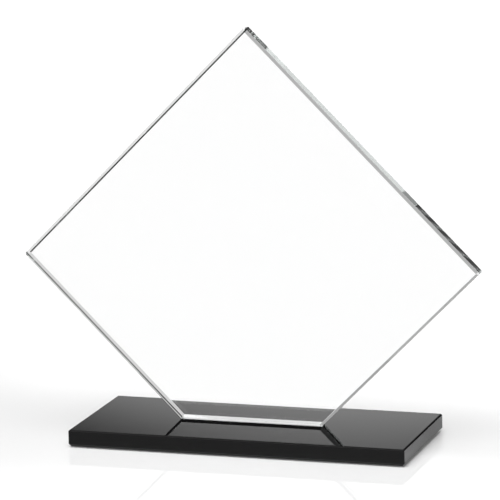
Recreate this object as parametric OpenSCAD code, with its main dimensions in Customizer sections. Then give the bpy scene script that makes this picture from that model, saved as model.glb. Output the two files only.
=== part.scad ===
// Crystal award: a square plate of clear crystal stands on its corner, with
// that corner ground to a flat foot. The foot is bonded to a slab of black
// glass, which rests on four thin clear pads held by adhesive discs.
// Millimetres, +Z up. The origin is on the table, under the plate's middle,
// and the award is seen from -Y.

/* [Plate] */
// Length of each side of the square plate
plate_side = 196; // [120:0.5:260]
// Thickness of the plate
plate_t = 9.8; // [6:0.1:20]
// Width of the flat foot ground across the plate's bottom corner
foot_w = 86.4; // [40:0.1:110]
// Width of the polished bevel round the plate's front and back faces
plate_bevel = 1.5; // [0.5:0.1:2.5]
// Width of the small flat on each of the three pointed corners
tip_flat = 1.2; // [0.2:0.1:2]

/* [Base] */
// Width of the base, left to right
base_w = 203.2; // [140:0.1:260]
// Depth of the base, front to back
base_d = 88.9; // [50:0.1:120]
// Thickness of the base
base_h = 10; // [8:0.5:25]
// Width of the bevel round the base's top face
top_bevel = 0.8; // [0.3:0.1:2]
// Width of the bevel round the base's underside
bottom_bevel = 1.5; // [0.3:0.1:3]
// Width of the bevel on the base's four upright edges
upright_bevel = 0.6; // [0.3:0.1:2]
// How far the base's middle is to the right of the plate's middle
base_shift = 2.2; // [-10:0.1:10]

/* [Bond] */
// Thickness of the clear adhesive film under the plate's foot
bond_t = 0.15; // [0.05:0.05:0.5]
// How far the film stays inside the edges of the foot's flat
bond_inset = 0.2; // [0:0.05:1]

/* [Feet] */
// Diameter of each foot pad
pad_dia = 10; // [6:0.5:14]
// Thickness of each foot pad
pad_t = 0.5; // [0.3:0.1:3]
// Diameter of the adhesive disc on each pad
tape_dia = 9; // [5:0.5:12]
// Thickness of the adhesive disc
tape_t = 0.1; // [0.05:0.05:0.3]
// Distance from the base's sides to the middle of each pad
pad_inset = 12; // [9:0.5:24]

/* [Hidden] */

$fn = 96;

half_diag = plate_side / sqrt(2);      // centre of the plate to each corner
centre_h = half_diag - foot_w / 2;     // foot's flat to the plate's centre
base_z = pad_t + tape_t;               // underside of the base
plate_z = base_z + base_h + bond_t;    // underside of the plate's foot
pad_rim = 0.4 * pad_t;                 // rounding of each pad's lower rim
past = 5;                              // how far cutters run past a solid

// The plate's outline, anticlockwise from the foot's right end. Each pointed
// corner is a short flat, half of it on either side of the corner's axis.
tip = tip_flat / 2;
plate_outline = [
    [foot_w / 2, 0],
    [half_diag - tip, centre_h - tip], [half_diag - tip, centre_h + tip],
    [tip, centre_h + half_diag - tip], [-tip, centre_h + half_diag - tip],
    [tip - half_diag, centre_h + tip], [tip - half_diag, centre_h - tip],
    [-foot_w / 2, 0],
];

// A bar that takes a 45 degree bevel off an edge that runs along +X. The
// solid lies towards +Y and +Z of the edge.
module bevel_bar(length, bevel) {
    translate([-past, 0, 0])
        rotate([90, 0, 90])
            linear_extrude(height = length + 2 * past)
                polygon([[-past, -past], [bevel + past, -past], [-past, bevel + past]]);
}

// Bevels the whole outline of a plate at the face z = 0
module bevel_round(outline, bevel) {
    count = len(outline);
    for (i = [0 : count - 1]) {
        from = outline[i];
        along = outline[(i + 1) % count] - from;
        translate(from)
            rotate([0, 0, atan2(along[1], along[0])])
                bevel_bar(norm(along), bevel);
    }
}

module crystal_plate() {
    color([0.86, 0.94, 0.92, 0.35])
        translate([0, plate_t / 2, plate_z])
            rotate([90, 0, 0])
                difference() {
                    linear_extrude(height = plate_t) polygon(plate_outline);
                    bevel_round(plate_outline, plate_bevel);
                    translate([0, 0, plate_t])
                        mirror([0, 0, 1])
                            bevel_round(plate_outline, plate_bevel);
                }
}

// Fills the flat part of the foot, between its front and back bevels
module bond_film() {
    film_w = foot_w - 2 * bond_inset;
    film_d = plate_t - 2 * (plate_bevel + bond_inset);
    color([0.9, 0.95, 0.95, 0.5])
        translate([-film_w / 2, -film_d / 2, base_z + base_h])
            cube([film_w, film_d, bond_t]);
}

module base_slab() {
    x = base_w / 2;
    y = base_d / 2;
    cut = upright_bevel;
    plan = [
        [x, cut - y], [x, y - cut], [x - cut, y], [cut - x, y],
        [-x, y - cut], [-x, cut - y], [cut - x, -y], [x - cut, -y],
    ];
    color([0.05, 0.05, 0.055])
        translate([base_shift, 0, base_z])
            difference() {
                linear_extrude(height = base_h) polygon(plan);
                bevel_round(plan, bottom_bevel);
                translate([0, 0, base_h])
                    mirror([0, 0, 1])
                        bevel_round(plan, top_bevel);
            }
}

// Puts its children at one foot: side is -1 left, 1 right; end is -1 front, 1 back
module at_foot(side, end) {
    translate([
        base_shift + side * (base_w / 2 - pad_inset),
        end * (base_d / 2 - pad_inset),
        0,
    ])
        children();
}

// A flat clear disc whose lower rim is rounded
module foot_pad(side, end) {
    color([0.85, 0.87, 0.88, 0.6])
        at_foot(side, end)
            rotate_extrude() {
                square([pad_dia / 2 - pad_rim, pad_t]);
                translate([pad_dia / 2 - pad_rim, pad_rim]) {
                    circle(pad_rim);
                    square([pad_rim, pad_t - pad_rim]);
                }
            }
}

module pad_tape(side, end) {
    color([0.75, 0.78, 0.8, 0.6])
        at_foot(side, end)
            translate([0, 0, pad_t])
                cylinder(d = tape_dia, h = tape_t);
}

crystal_plate();
bond_film();
base_slab();
foot_pad(-1, -1);  // foot_pad_front_left
foot_pad(1, -1);  // foot_pad_front_right
foot_pad(-1, 1);  // foot_pad_back_left
foot_pad(1, 1);  // foot_pad_back_right
pad_tape(-1, -1);  // pad_tape_front_left
pad_tape(1, -1);  // pad_tape_front_right
pad_tape(-1, 1);  // pad_tape_back_left
pad_tape(1, 1);  // pad_tape_back_right
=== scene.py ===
import math

import bmesh
import bpy
from mathutils import Matrix, Vector


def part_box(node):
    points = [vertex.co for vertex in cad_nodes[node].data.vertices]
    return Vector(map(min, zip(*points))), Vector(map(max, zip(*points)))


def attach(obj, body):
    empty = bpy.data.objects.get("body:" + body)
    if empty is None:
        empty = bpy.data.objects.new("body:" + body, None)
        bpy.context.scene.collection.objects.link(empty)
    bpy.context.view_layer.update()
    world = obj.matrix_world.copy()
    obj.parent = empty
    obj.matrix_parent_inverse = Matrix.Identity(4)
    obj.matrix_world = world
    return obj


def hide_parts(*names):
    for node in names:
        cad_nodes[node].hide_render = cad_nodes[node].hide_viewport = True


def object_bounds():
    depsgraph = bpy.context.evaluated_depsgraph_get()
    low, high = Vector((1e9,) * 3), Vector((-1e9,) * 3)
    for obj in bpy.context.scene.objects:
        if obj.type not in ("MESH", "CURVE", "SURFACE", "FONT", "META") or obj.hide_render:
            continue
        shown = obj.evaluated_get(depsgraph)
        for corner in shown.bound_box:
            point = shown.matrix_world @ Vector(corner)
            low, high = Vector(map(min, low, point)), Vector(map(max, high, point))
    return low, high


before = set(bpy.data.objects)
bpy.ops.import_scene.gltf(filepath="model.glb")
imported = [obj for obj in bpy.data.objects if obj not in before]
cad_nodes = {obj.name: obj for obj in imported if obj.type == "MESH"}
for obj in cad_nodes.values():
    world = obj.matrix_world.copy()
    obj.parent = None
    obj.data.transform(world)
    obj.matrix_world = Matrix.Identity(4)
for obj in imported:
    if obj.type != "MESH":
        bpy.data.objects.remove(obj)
cad_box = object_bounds()

MM = 0.001
BODY = "root"
PLACES = [end + "_" + side for end in ("front", "back") for side in ("left", "right")]

# The camera stands a little to the right of straight in front, and slightly above
VIEW_YAW = math.radians(17.26)
VIEW_PITCH = math.radians(11.32)
VIEW_ROLL = math.radians(-0.99)
VIEW_DISTANCE = 2.1765
AIM_OFF_MIDDLE = Vector((0.2, 0.0, -8.6)) * MM
LENS_MM = 268.9
SENSOR_MM = 36.0
CLIP_START = 0.05
CLIP_END = 50.0
LIGHT_BOUNCES = 48         # enough for light that runs along inside the plate

IOR_CRYSTAL = 1.52
IOR_BASE = 1.28            # less than real glass has, to keep the base's reflections weak
IOR_ADHESIVE = 1.48
IOR_ELASTOMER = 1.47
IOR_FLOOR = 1.4

UPPER_LEFT = Vector((-1, 0, 1)).normalized()
BACK = Vector((0, 1, 0))
ARRIS = 0.12 * MM          # rounding of every sharp edge of the plate and the base
ARRIS_SEGMENTS = 3
WIDE_BEVEL = 0.3 * MM      # how much wider than the others the upper left back bevel is
SKIN = 0.01 * MM           # kept free between faces that touch, so that they don't coincide
MENISCUS = 0.09 * MM       # how far the film's rim is drawn in half way up
FILM_CORNER = 0.8 * MM     # radius of the film's corners
FILM_ROWS = 9
PAD_CURL = 1.6 * MM        # width of the pads' curved lower rim
PAD_CURL_HEIGHT = 0.5      # its height, as a share of the pad's thickness
PAD_CURL_STEPS = 10
PAD_TOP_RIM = 0.08         # half the height of the pads' top rim, as a share of the thickness
DISC_BULGE = 0.3           # how far the discs' rim bulges, as a share of their thickness
DISC_STEPS = 6
ROUND_SEGMENTS = 72        # sides of the pads and the discs

SAME_PLACE = 0.001 * MM          # vertices closer than this are one
SAME_HEIGHT = 0.01 * MM          # faces closer in height than this are level
FLAT_ANGLE = math.radians(1)     # triangles that meet at less than this are one flat face
SHARP_ANGLE = math.radians(10)   # edges sharper than this are rounded
FACING = 0.99                    # cosine from which a face counts as facing a direction

FLOOR_RADIUS = 6.0
FLOOR_SEGMENTS = 96
FLOOR_COLOUR = (0.94, 0.94, 0.94, 1)
FLOOR_ROUGHNESS = 0.03
FLOOR_LIFT = 0.10          # light of its own that takes the floor close to white
BACKDROP = 1.0             # level of the plain backdrop that the camera sees
WHITE = (1, 1, 1, 1)

# What the award reflects and refracts. Directions are degrees from +Y towards +X, then
# degrees above the horizon. Level of the surroundings by height: degrees above the horizon,
# level. The floor in front of the base mirrors the bright ring at 14.6 to 17 degrees.
SURROUND = [
    (-90, 0.88), (-37, 0.88), (-34, 0.80), (-29, 0.80), (-26, 0.92), (-2, 0.92),
    (0, 0.66), (12, 0.5), (13.5, 0.16), (14.45, 0.16), (14.6, 0.95), (17, 0.95), (17.4, 0.16),
    (30, 0.16), (33, 0.02), (90, 0.02),
]
# Round cards and flags, each in front of the ones before it: azimuth, elevation, half width,
# half width with its soft edge, level
CARDS = [
    (-17, -11, 9, 13, 1.08),        # bright sweep of backdrop behind the plate
    (-15.3, 0, 13.5, 15.0, 1.0),    # low white card behind
    (-18.5, 22, 4, 6, 0.85),        # small pale card above it
    (-170, 70, 24, 28, 6.2),        # overhead softbox, in front
    (-125, 69, 5, 8, 1.1),          # flag that keeps it off the base's front bevel
    (140, 62, 14, 18, 3.2),         # small softbox, in front and to the right
    (90, 19, 13, 17, 0.02),         # black flag on the right
    (72, -65, 10, 13, 0.02),        # black flag underneath, on the right
    (-82, -67, 7, 10, 0.02),        # black flag underneath, on the left
    (9, -43, 5, 8, 0.05),           # black flag underneath, behind
    (3.5, 9.5, 4.5, 7.0, 0.66),     # grey card behind, on the right
    (10, 16, 4.5, 5.5, 0.3),        # grey flag above it
    (15.5, 12.5, 2.5, 3.5, 0.04),   # black flag beside it
    (-37.5, -27, 4, 7, 0.44),       # grey flag behind, low on the left
    (-35.5, 6, 3, 6, 0.38),         # grey flag above it
]


# ---------------------------------------------------------------- shader nodes

def principled(name):
    """A new material, its node tree and its shader."""
    material = bpy.data.materials.new(name)
    material.use_nodes = True
    return material, material.node_tree, material.node_tree.nodes["Principled BSDF"]


def shader_node(tree, kind, **inputs):
    """A new shader node. inputs are socket names, with _ for spaces, and their values."""
    made = tree.nodes.new(kind)
    for name, value in inputs.items():
        made.inputs[name.replace("_", " ")].default_value = value
    return made


def noise(tree, size, stretch=(1, 1, 1), detail=3.0):
    """Noise in the object's own space. size is about one patch, times stretch on each axis."""
    where = shader_node(tree, "ShaderNodeTexCoord")
    spread = shader_node(tree, "ShaderNodeMapping")
    spread.inputs["Scale"].default_value = [1 / s for s in stretch]
    made = shader_node(tree, "ShaderNodeTexNoise", Scale=1 / size, Detail=detail)
    tree.links.new(where.outputs["Object"], spread.inputs["Vector"])
    tree.links.new(spread.outputs["Vector"], made.inputs["Vector"])
    return made.outputs["Fac"]


def ranged(tree, source, low, high):
    """Noise spread to run from low to high. Most of the noise itself is from 0.3 to 0.7."""
    made = shader_node(
        tree, "ShaderNodeMapRange", From_Min=0.3, From_Max=0.7, To_Min=low, To_Max=high)
    tree.links.new(source, made.inputs["Value"])
    return made.outputs[0]


def multiplied(tree, first, second):
    made = tree.nodes.new("ShaderNodeMath")
    made.operation = "MULTIPLY"
    tree.links.new(first, made.inputs[0])
    tree.links.new(second, made.inputs[1])
    return made.outputs[0]


def mixed_level(tree, factor, level, number):
    """A float mix, by the socket factor, from the socket level to a number."""
    mix = tree.nodes.new("ShaderNodeMix")
    factor_socket, _, from_socket, to_socket = mix.inputs[:4]
    tree.links.new(factor, factor_socket)
    tree.links.new(level, from_socket)
    to_socket.default_value = number
    return mix.outputs[0]


def edge_mask(tree):
    made = tree.nodes.new("ShaderNodeAttribute")
    made.attribute_name = "ground_edge"
    return made.outputs["Fac"]


def bump(tree, shader, height, depth):
    """Bumps of the given depth in metres where height runs from 0 to 1."""
    made = shader_node(tree, "ShaderNodeBump", Strength=1.0, Distance=depth)
    tree.links.new(height, made.inputs["Height"])
    tree.links.new(made.outputs[0], shader.inputs["Normal"])


# ---------------------------------------------------------------- camera and studio

def look_axes():
    """The camera's right, up and forward directions before its roll."""
    forward = Vector((
        -math.sin(VIEW_YAW) * math.cos(VIEW_PITCH),
        math.cos(VIEW_YAW) * math.cos(VIEW_PITCH),
        -math.sin(VIEW_PITCH),
    ))
    right = Vector((math.cos(VIEW_YAW), math.sin(VIEW_YAW), 0.0))
    return right, right.cross(forward), forward


def make_camera():
    right, up, forward = look_axes()
    middle = (cad_box[0] + cad_box[1]) / 2
    data = bpy.data.cameras.new("camera")
    data.lens = LENS_MM
    data.sensor_width = SENSOR_MM
    data.clip_start = CLIP_START
    data.clip_end = CLIP_END
    camera = bpy.data.objects.new("camera", data)
    bpy.context.scene.collection.objects.link(camera)
    turn = Matrix((right, up, -forward)).transposed().to_4x4()
    place = Matrix.Translation(middle + AIM_OFF_MIDDLE - forward * VIEW_DISTANCE)
    camera.matrix_world = place @ turn @ Matrix.Rotation(VIEW_ROLL, 4, "Z")
    bpy.context.scene.camera = camera


def make_floor():
    """A pale glossy floor. The rays that pass through the crystal see the studio instead."""
    mesh = bpy.data.meshes.new("floor")
    work = bmesh.new()
    bmesh.ops.create_circle(work, cap_ends=True, segments=FLOOR_SEGMENTS, radius=FLOOR_RADIUS)
    work.to_mesh(mesh)
    work.free()
    floor = bpy.data.objects.new("floor", mesh)
    floor.location.z = -SKIN
    bpy.context.scene.collection.objects.link(floor)
    material, _, shader = principled("floor")
    shader.inputs["Base Color"].default_value = FLOOR_COLOUR
    shader.inputs["Roughness"].default_value = FLOOR_ROUGHNESS
    shader.inputs["IOR"].default_value = IOR_FLOOR
    shader.inputs["Emission Color"].default_value = WHITE
    shader.inputs["Emission Strength"].default_value = FLOOR_LIFT
    mesh.materials.append(material)
    floor.visible_transmission = False


def direction(azimuth, elevation):
    az, el = math.radians(azimuth), math.radians(elevation)
    return Vector((math.sin(az) * math.cos(el), math.cos(az) * math.cos(el), math.sin(el)))


def surround_level(tree, where):
    """The level of the surroundings, by height only."""
    split = shader_node(tree, "ShaderNodeSeparateXYZ")
    tree.links.new(where, split.inputs[0])
    height = shader_node(tree, "ShaderNodeMapRange", From_Min=-1.0, From_Max=1.0)
    tree.links.new(split.outputs["Z"], height.inputs["Value"])
    ramp = shader_node(tree, "ShaderNodeValToRGB")
    tree.links.new(height.outputs[0], ramp.inputs["Fac"])
    elements = ramp.color_ramp.elements
    while len(elements) < len(SURROUND):
        elements.new(0.5)
    for element, (elevation, level) in zip(elements, SURROUND):
        element.position = (math.sin(math.radians(elevation)) + 1) / 2
        element.color = (level, level, level, 1)
    return ramp.outputs["Color"]


def card_mask(tree, where, azimuth, elevation, inner, outer):
    """1 inside a round card, falling to 0 across its soft edge."""
    along = tree.nodes.new("ShaderNodeVectorMath")
    along.operation = "DOT_PRODUCT"
    along.inputs[1].default_value = direction(azimuth, elevation)
    tree.links.new(where, along.inputs[0])
    mask = shader_node(
        tree, "ShaderNodeMapRange",
        From_Min=math.cos(math.radians(outer)), From_Max=math.cos(math.radians(inner)))
    mask.interpolation_type = "SMOOTHSTEP"
    tree.links.new(along.outputs["Value"], mask.inputs["Value"])
    return mask.outputs[0]


def make_world():
    """The studio round the award. The camera itself sees only a plain backdrop."""
    world = bpy.data.worlds.new("studio")
    bpy.context.scene.world = world
    world.use_nodes = True
    tree = world.node_tree
    where = shader_node(tree, "ShaderNodeTexCoord").outputs["Generated"]
    level = surround_level(tree, where)
    for azimuth, elevation, inner, outer, card_level in CARDS:
        mask = card_mask(tree, where, azimuth, elevation, inner, outer)
        level = mixed_level(tree, mask, level, card_level)
    seen = shader_node(tree, "ShaderNodeLightPath").outputs["Is Camera Ray"]
    level = mixed_level(tree, seen, level, BACKDROP)
    background = tree.nodes["Background"]
    background.inputs["Color"].default_value = WHITE
    tree.links.new(level, background.inputs["Strength"])


# ---------------------------------------------------------------- materials

def crystal():
    """Optical crystal: clean faces, and edges with a slight haze and the wheel's faint waves."""
    material, tree, shader = principled("clear crystal")
    shader.inputs["Base Color"].default_value = WHITE
    shader.inputs["IOR"].default_value = IOR_CRYSTAL
    shader.inputs["Transmission Weight"].default_value = 1.0
    edges = edge_mask(tree)
    haze = ranged(tree, noise(tree, size=2.5 * MM), low=0.0, high=0.03)
    tree.links.new(multiplied(tree, edges, haze), shader.inputs["Roughness"])
    waves = noise(tree, size=5 * MM, stretch=(1, 0.4, 1), detail=2.0)
    bump(tree, shader, multiplied(tree, edges, waves), depth=0.003 * MM)
    absorb = shader_node(
        tree, "ShaderNodeVolumeAbsorption", Color=(0.62, 0.78, 0.72, 1), Density=1.0)
    tree.links.new(absorb.outputs[0], tree.nodes["Material Output"].inputs["Volume"])
    return material


def bonded_foot():
    """The foot's flat, which the adhesive joins optically to the black base."""
    material, tree, shader = principled("bonded foot")
    shade = ranged(tree, noise(tree, size=3 * MM), low=0.002, high=0.006)
    tree.links.new(shade, shader.inputs["Base Color"])
    shader.inputs["Roughness"].default_value = 0.3
    shader.inputs["Specular IOR Level"].default_value = 0.0
    return material


def black_glass():
    """Black glass: a slightly uneven mirror polish, and edges with the wheel's faint waves."""
    material, tree, shader = principled("black glass")
    shader.inputs["IOR"].default_value = IOR_BASE
    depths = tree.nodes.new("ShaderNodeMix")
    depths.data_type = "RGBA"
    darker, lighter = [s for s in depths.inputs if s.type == "RGBA"]
    darker.default_value = (0.001, 0.001, 0.0011, 1)
    lighter.default_value = (0.0025, 0.0025, 0.0027, 1)
    tree.links.new(noise(tree, size=12 * MM), depths.inputs[0])
    colour = [s for s in depths.outputs if s.type == "RGBA"][0]
    tree.links.new(colour, shader.inputs["Base Color"])
    polish = ranged(tree, noise(tree, size=18 * MM, detail=5.0), low=0.008, high=0.03)
    tree.links.new(polish, shader.inputs["Roughness"])
    waves = noise(tree, size=5 * MM, stretch=(1, 1, 0.4), detail=2.0)
    bump(tree, shader, multiplied(tree, edge_mask(tree), waves), depth=0.002 * MM)
    return material


def clear_adhesive():
    """Cured clear glue: glossy and a little cloudy, with an uneven skin."""
    material, tree, shader = principled("clear adhesive")
    shader.inputs["IOR"].default_value = IOR_ADHESIVE
    shader.inputs["Transmission Weight"].default_value = 0.75
    cloud = ranged(tree, noise(tree, size=1.2 * MM), low=0.75, high=0.92)
    tree.links.new(cloud, shader.inputs["Base Color"])
    gloss = ranged(tree, noise(tree, size=0.6 * MM), low=0.03, high=0.12)
    tree.links.new(gloss, shader.inputs["Roughness"])
    bump(tree, shader, noise(tree, size=0.8 * MM), depth=0.01 * MM)
    return material


def clear_elastomer():
    """Soft clear polyurethane: a satin skin that holds a little dust."""
    material, tree, shader = principled("clear elastomer")
    shader.inputs["IOR"].default_value = IOR_ELASTOMER
    shader.inputs["Transmission Weight"].default_value = 0.8
    dust = ranged(tree, noise(tree, size=0.7 * MM, detail=6.0), low=0.72, high=0.9)
    tree.links.new(dust, shader.inputs["Base Color"])
    satin = ranged(tree, noise(tree, size=1.5 * MM), low=0.18, high=0.35)
    tree.links.new(satin, shader.inputs["Roughness"])
    bump(tree, shader, noise(tree, size=0.25 * MM, detail=4.0), depth=0.01 * MM)
    return material


def disc_adhesive():
    """Acrylic transfer adhesive: milky, with a fine mottle."""
    material, tree, shader = principled("disc adhesive")
    shader.inputs["IOR"].default_value = IOR_ADHESIVE
    shader.inputs["Transmission Weight"].default_value = 0.4
    mottle = ranged(tree, noise(tree, size=0.4 * MM, detail=5.0), low=0.55, high=0.8)
    tree.links.new(mottle, shader.inputs["Base Color"])
    satin = ranged(tree, noise(tree, size=0.9 * MM), low=0.25, high=0.45)
    tree.links.new(satin, shader.inputs["Roughness"])
    bump(tree, shader, noise(tree, size=0.5 * MM), depth=0.006 * MM)
    return material


# ---------------------------------------------------------------- shapes

def new_piece(name, work, *materials):
    mesh = bpy.data.meshes.new(name)
    bmesh.ops.recalc_face_normals(work, faces=work.faces)
    work.to_mesh(mesh)
    work.free()
    for material in materials:
        mesh.materials.append(material)
    piece = bpy.data.objects.new(name, mesh)
    bpy.context.scene.collection.objects.link(piece)
    return piece


def stand_for(piece, cad_name):
    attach(piece, BODY)
    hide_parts(cad_name)


def flat_faced(cad_name):
    """A bmesh of a CAD node's mesh with its triangles joined into flat faces."""
    work = bmesh.new()
    work.from_mesh(cad_nodes[cad_name].data)
    bmesh.ops.remove_doubles(work, verts=work.verts, dist=SAME_PLACE)
    bmesh.ops.dissolve_limit(
        work, angle_limit=FLAT_ANGLE, verts=work.verts, edges=work.edges)
    return work


def round_arrises(work):
    edges = [e for e in work.edges if e.calc_face_angle(0) > SHARP_ANGLE]
    bmesh.ops.bevel(
        work, geom=edges, offset=ARRIS, segments=ARRIS_SEGMENTS, profile=0.5,
        affect="EDGES", clamp_overlap=True)


def widen_back_bevel(work, outward, extra):
    """Widens the back bevel along one edge of the plate, and keeps it at 45 degrees."""
    work.normal_update()
    for face in work.faces:
        if face.normal.dot((outward + BACK).normalized()) > FACING:
            heights = [vert.co.y for vert in face.verts]
            middle = (min(heights) + max(heights)) / 2
            for vert in face.verts:
                vert.co -= extra * (outward if vert.co.y > middle else BACK)


def mark_edge_faces(piece, flat_axis):
    """Writes the attribute ground_edge: 0 on the big flat faces, 1 on every edge face."""
    mesh = piece.data
    mask = mesh.attributes.new("ground_edge", "FLOAT", "FACE")
    for face in mesh.polygons:
        mask.data[face.index].value = 0.0 if abs(face.normal[flat_axis]) > FACING else 1.0


def smooth_with_flats(piece):
    for face in piece.data.polygons:
        face.use_smooth = True
    even = piece.modifiers.new("flat faces stay flat", "WEIGHTED_NORMAL")
    even.mode = "FACE_AREA"
    even.weight = 100


def make_plate():
    work = flat_faced("crystal_plate")
    widen_back_bevel(work, UPPER_LEFT, WIDE_BEVEL)
    round_arrises(work)
    foot_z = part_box("crystal_plate")[0].z
    for face in work.faces:
        at_foot = abs(face.calc_center_median().z - foot_z) < SAME_HEIGHT
        face.material_index = 1 if at_foot and face.normal.z < -FACING else 0
    piece = new_piece("award_plate", work, crystal(), bonded_foot())
    mark_edge_faces(piece, flat_axis=1)
    smooth_with_flats(piece)
    stand_for(piece, "crystal_plate")


def make_base():
    work = flat_faced("base_slab")
    round_arrises(work)
    piece = new_piece("award_base", work, black_glass())
    mark_edge_faces(piece, flat_axis=2)
    smooth_with_flats(piece)
    stand_for(piece, "base_slab")


def close_loops(work, loops):
    """Joins loops of vertices of equal length, each with the next, and caps both ends."""
    for low, high in zip(loops, loops[1:]):
        for i in range(len(low)):
            j = (i + 1) % len(low)
            work.faces.new((low[i], low[j], high[j], high[i]))
    work.faces.new(reversed(loops[0]))
    work.faces.new(loops[-1])


def rounded_rectangle(half_w, half_d, radius, steps=8):
    """Points round a rectangle with round corners, anticlockwise."""
    points = []
    for quarter, (sx, sy) in enumerate(((1, 1), (-1, 1), (-1, -1), (1, -1))):
        for step in range(steps + 1):
            angle = (quarter + step / steps) * math.pi / 2
            points.append((
                sx * (half_w - radius) + radius * math.cos(angle),
                sy * (half_d - radius) + radius * math.sin(angle),
            ))
    return points


def crown(up):
    """A parabola that is 0 where up is 0 or 1, and 1 half way."""
    return 1 - (2 * up - 1) ** 2


def make_film():
    """The cured film under the plate's foot, with a rim drawn in between plate and base."""
    low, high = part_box("bond_film")
    middle, half = (low + high) / 2, (high - low) / 2
    work = bmesh.new()
    loops = []
    for row in range(FILM_ROWS):
        up = row / (FILM_ROWS - 1)
        inset = MENISCUS * crown(up)
        z = low.z + SKIN + up * (high.z - low.z - 2 * SKIN)
        outline = rounded_rectangle(half.x - inset, half.y - inset, FILM_CORNER - inset)
        loops.append([work.verts.new((middle.x + x, middle.y + y, z)) for x, y in outline])
    close_loops(work, loops)
    piece = new_piece("cured_bond_film", work, clear_adhesive())
    smooth_with_flats(piece)
    stand_for(piece, "bond_film")


def lathe(name, material, middle, profile):
    """A closed round piece. profile is (radius, height) from its underside to its top."""
    turns = [math.tau * i / ROUND_SEGMENTS for i in range(ROUND_SEGMENTS)]
    work = bmesh.new()
    loops = []
    for radius, z in profile:
        loops.append([
            work.verts.new((middle.x + radius * math.cos(a), middle.y + radius * math.sin(a), z))
            for a in turns
        ])
    close_loops(work, loops)
    piece = new_piece(name, work, material)
    smooth_with_flats(piece)
    return piece


def make_pad(place, material):
    """A clear bumper: flat where it rests, with a curled lower rim and a sharper top one."""
    low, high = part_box("foot_pad_" + place)
    radius = (high.x - low.x) / 2
    thick = high.z - low.z
    top = high.z - SKIN
    rim = PAD_TOP_RIM * thick
    profile = []
    for step in range(PAD_CURL_STEPS + 1):
        a = step / PAD_CURL_STEPS * math.pi / 2
        profile.append((
            radius - PAD_CURL + PAD_CURL * math.sin(a),
            low.z + PAD_CURL_HEIGHT * thick * (1 - math.cos(a)),
        ))
    profile += [(radius, top - 2 * rim), (radius - 0.3 * rim, top - rim), (radius - 1.5 * rim, top)]
    piece = lathe("clear_pad_" + place, material, (low + high) / 2, profile)
    stand_for(piece, "foot_pad_" + place)


def make_disc(place, material):
    """A die-cut adhesive disc, whose rim bulges a little where it is pressed."""
    low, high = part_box("pad_tape_" + place)
    radius = (high.x - low.x) / 2
    thick = high.z - low.z
    bulge = DISC_BULGE * thick
    profile = []
    for step in range(DISC_STEPS + 1):
        up = step / DISC_STEPS
        z = low.z + SKIN / 2 + up * (thick - SKIN)
        profile.append((radius - bulge + bulge * crown(up), z))
    piece = lathe("adhesive_disc_" + place, material, (low + high) / 2, profile)
    stand_for(piece, "pad_tape_" + place)


# ---------------------------------------------------------------- the scene

make_camera()
make_floor()
make_world()
make_plate()
make_base()
make_film()
pad_material = clear_elastomer()
disc_material = disc_adhesive()
for place in PLACES:
    make_pad(place, pad_material)
    make_disc(place, disc_material)

scene = bpy.context.scene
scene.view_settings.view_transform = "Standard"
for limit in ("max_bounces", "glossy_bounces", "transmission_bounces", "transparent_max_bounces"):
    setattr(scene.cycles, limit, LIGHT_BOUNCES)
